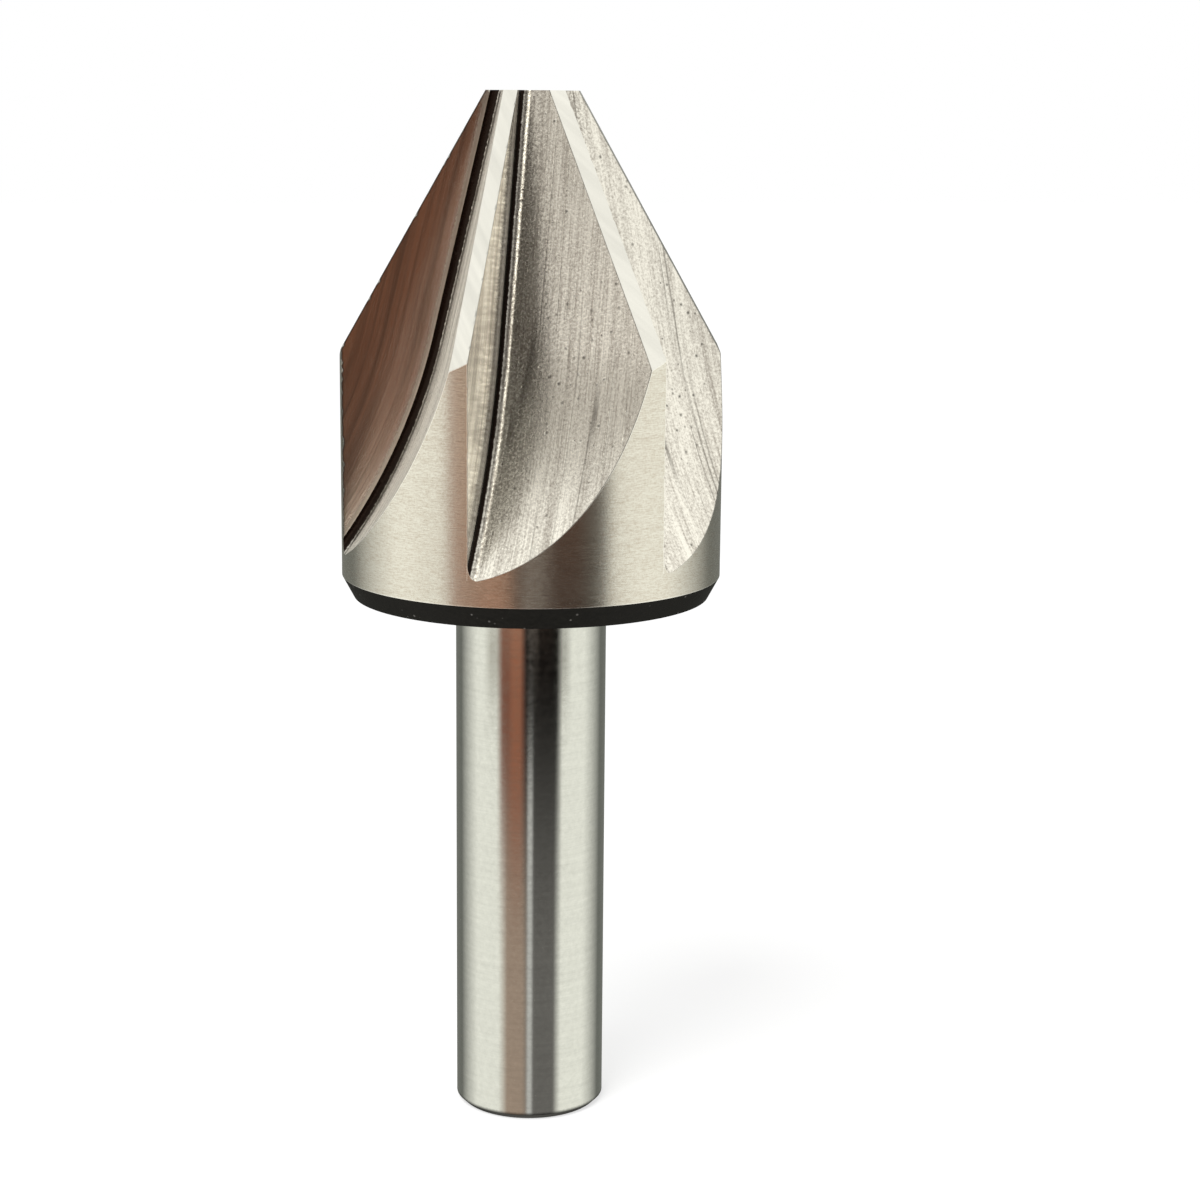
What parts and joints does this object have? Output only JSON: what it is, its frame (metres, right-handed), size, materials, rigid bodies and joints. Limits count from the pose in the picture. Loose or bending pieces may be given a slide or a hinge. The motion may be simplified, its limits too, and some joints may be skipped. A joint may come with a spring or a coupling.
{
  "type": "chamfer end mill",
  "caption": "Chamfering end mill with a round shank, a cylindrical head and a fluted conical point, ground from one piece of high-speed steel.",
  "frame": {"origin": "centre of the shank's end face, on which the part stands", "axes": "+Z along the tool's axis from the shank to the tip; +X through one of the cutting edges"},
  "size_m": [0.025, 0.025, 0.068],
  "materials": {
    "ground_steel": "ground and bright, with a dark unground bevel at the head's back"
  },
  "bodies": {
    "root": {"end_mill": "ground_steel"}
  },
  "joints": []
}
